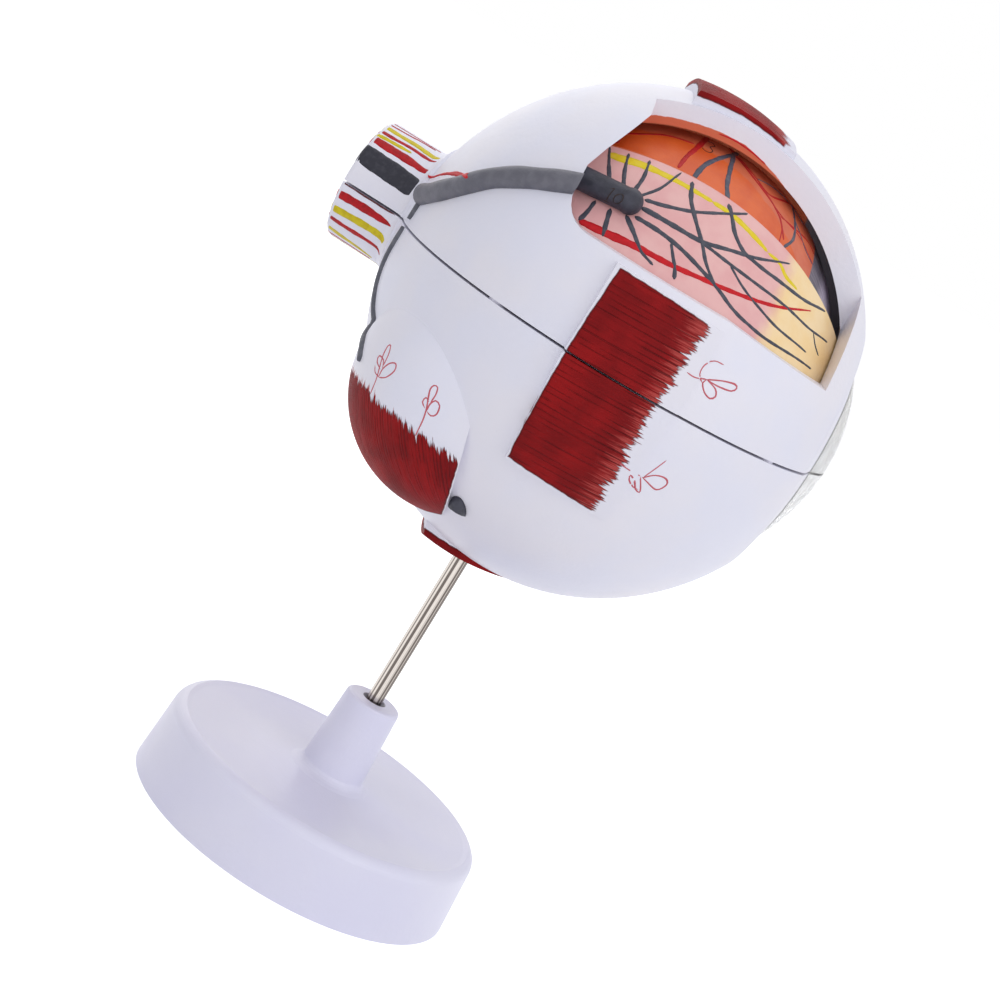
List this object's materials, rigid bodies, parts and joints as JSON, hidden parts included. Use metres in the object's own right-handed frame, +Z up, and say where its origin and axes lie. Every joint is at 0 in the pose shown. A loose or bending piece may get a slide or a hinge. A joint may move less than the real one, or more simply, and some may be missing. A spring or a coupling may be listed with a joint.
{
  "type": "eye anatomy model",
  "caption": "Take-apart right eye on a steel rod and a round base, with a cutaway window showing the coloured inner shells, muscles, veins and optic nerve stub.",
  "frame": {"origin": "centre of the round base's bottom ring, on the rod's axis, on the table", "axes": "+Z up along the rod, cornea towards -Y, optic nerve towards +Y, lateral side with the window towards -X"},
  "size_m": [0.086, 0.0907, 0.1435],
  "materials": {
    "base_plastic": "smooth moulded, pale lavender white",
    "rod_steel": "drawn and polished",
    "white_shell": "satin, bluish white",
    "clear_front": "clear, slightly grey",
    "nerve_sheath_paint": "white with red, yellow and dark painted stripes",
    "nerve_core_paint": "pale yellow",
    "muscle_paint": "dark red, brushed on over white",
    "vein_paint": "dark slate, satin",
    "choroid_paint": "pink, peach towards the front, with painted vessels",
    "retina_paint": "orange with red and dark painted vessels",
    "ciliary_paint": "dark slate with fine folds",
    "iris_paint": "brown with radial fibres",
    "clear_body": "clear, polished",
    "clear_lens": "clear, polished"
  },
  "bodies": {
    "stand_base": {"base": "base_plastic"},
    "rod": {"support_rod": "rod_steel"},
    "lower_half": {"sclera_lower": "white_shell", "cornea_lower": "clear_front", "nerve_sheath_lower": "nerve_sheath_paint", "optic_nerve_lower": "nerve_core_paint", "lateral_rectus_lower": "muscle_paint", "medial_rectus_lower": "muscle_paint", "inferior_rectus": "muscle_paint", "inferior_oblique": "muscle_paint", "vortex_vein_lower": "vein_paint", "locating_pins": "white_shell"},
    "upper_half": {"sclera_upper": "white_shell", "cornea_upper": "clear_front", "nerve_sheath_upper": "nerve_sheath_paint", "optic_nerve_upper": "nerve_core_paint", "lateral_rectus_upper": "muscle_paint", "medial_rectus_upper": "muscle_paint", "superior_rectus": "muscle_paint", "superior_oblique": "muscle_paint", "vortex_vein_upper": "vein_paint", "vortex_vein_inner": "vein_paint"},
    "inner_lower": {"choroid_lower": "choroid_paint", "retina_lower": "retina_paint", "ciliary_ring_lower": "ciliary_paint", "iris_lower": "iris_paint"},
    "inner_upper": {"choroid_upper": "choroid_paint", "retina_upper": "retina_paint", "ciliary_ring_upper": "ciliary_paint", "iris_upper": "iris_paint"},
    "vitreous": {"vitreous_body": "clear_body"},
    "lens_body": {"lens": "clear_lens"}
  },
  "joints": [
    {"name": "rod_pull", "type": "slide", "parent": "stand_base", "child": "rod", "axis": [0, 0, 1], "range_m": [0, 0.027]},
    {"name": "globe_turn", "type": "hinge", "parent": "rod", "child": "lower_half", "pos_m": [0, 0, 0.06], "axis": [0, 0, 1], "continuous": true},
    {"name": "upper_half_lift", "type": "slide", "parent": "lower_half", "child": "upper_half", "axis": [0, 0, 1], "range_m": [0, 0.16]},
    {"name": "inner_upper_lift", "type": "slide", "parent": "lower_half", "child": "inner_upper", "axis": [0, 0, 1], "range_m": [0, 0.12]},
    {"name": "vitreous_lift", "type": "slide", "parent": "lower_half", "child": "vitreous", "axis": [0, 0, 1], "range_m": [0, 0.081]},
    {"name": "inner_lower_lift", "type": "slide", "parent": "lower_half", "child": "inner_lower", "axis": [0, 0, 1], "range_m": [0, 0.042]},
    {"name": "lens_out", "type": "slide", "parent": "vitreous", "child": "lens_body", "axis": [0, -1, 0], "range_m": [0, 0.009]}
  ],
  "couplings": [
    {"joint": "inner_upper_lift", "follows": "upper_half_lift", "ratio": 0.74},
    {"joint": "vitreous_lift", "follows": "upper_half_lift", "ratio": 0.5},
    {"joint": "inner_lower_lift", "follows": "upper_half_lift", "ratio": 0.26},
    {"joint": "lens_out", "follows": "upper_half_lift", "ratio": 0.055}
  ]
}
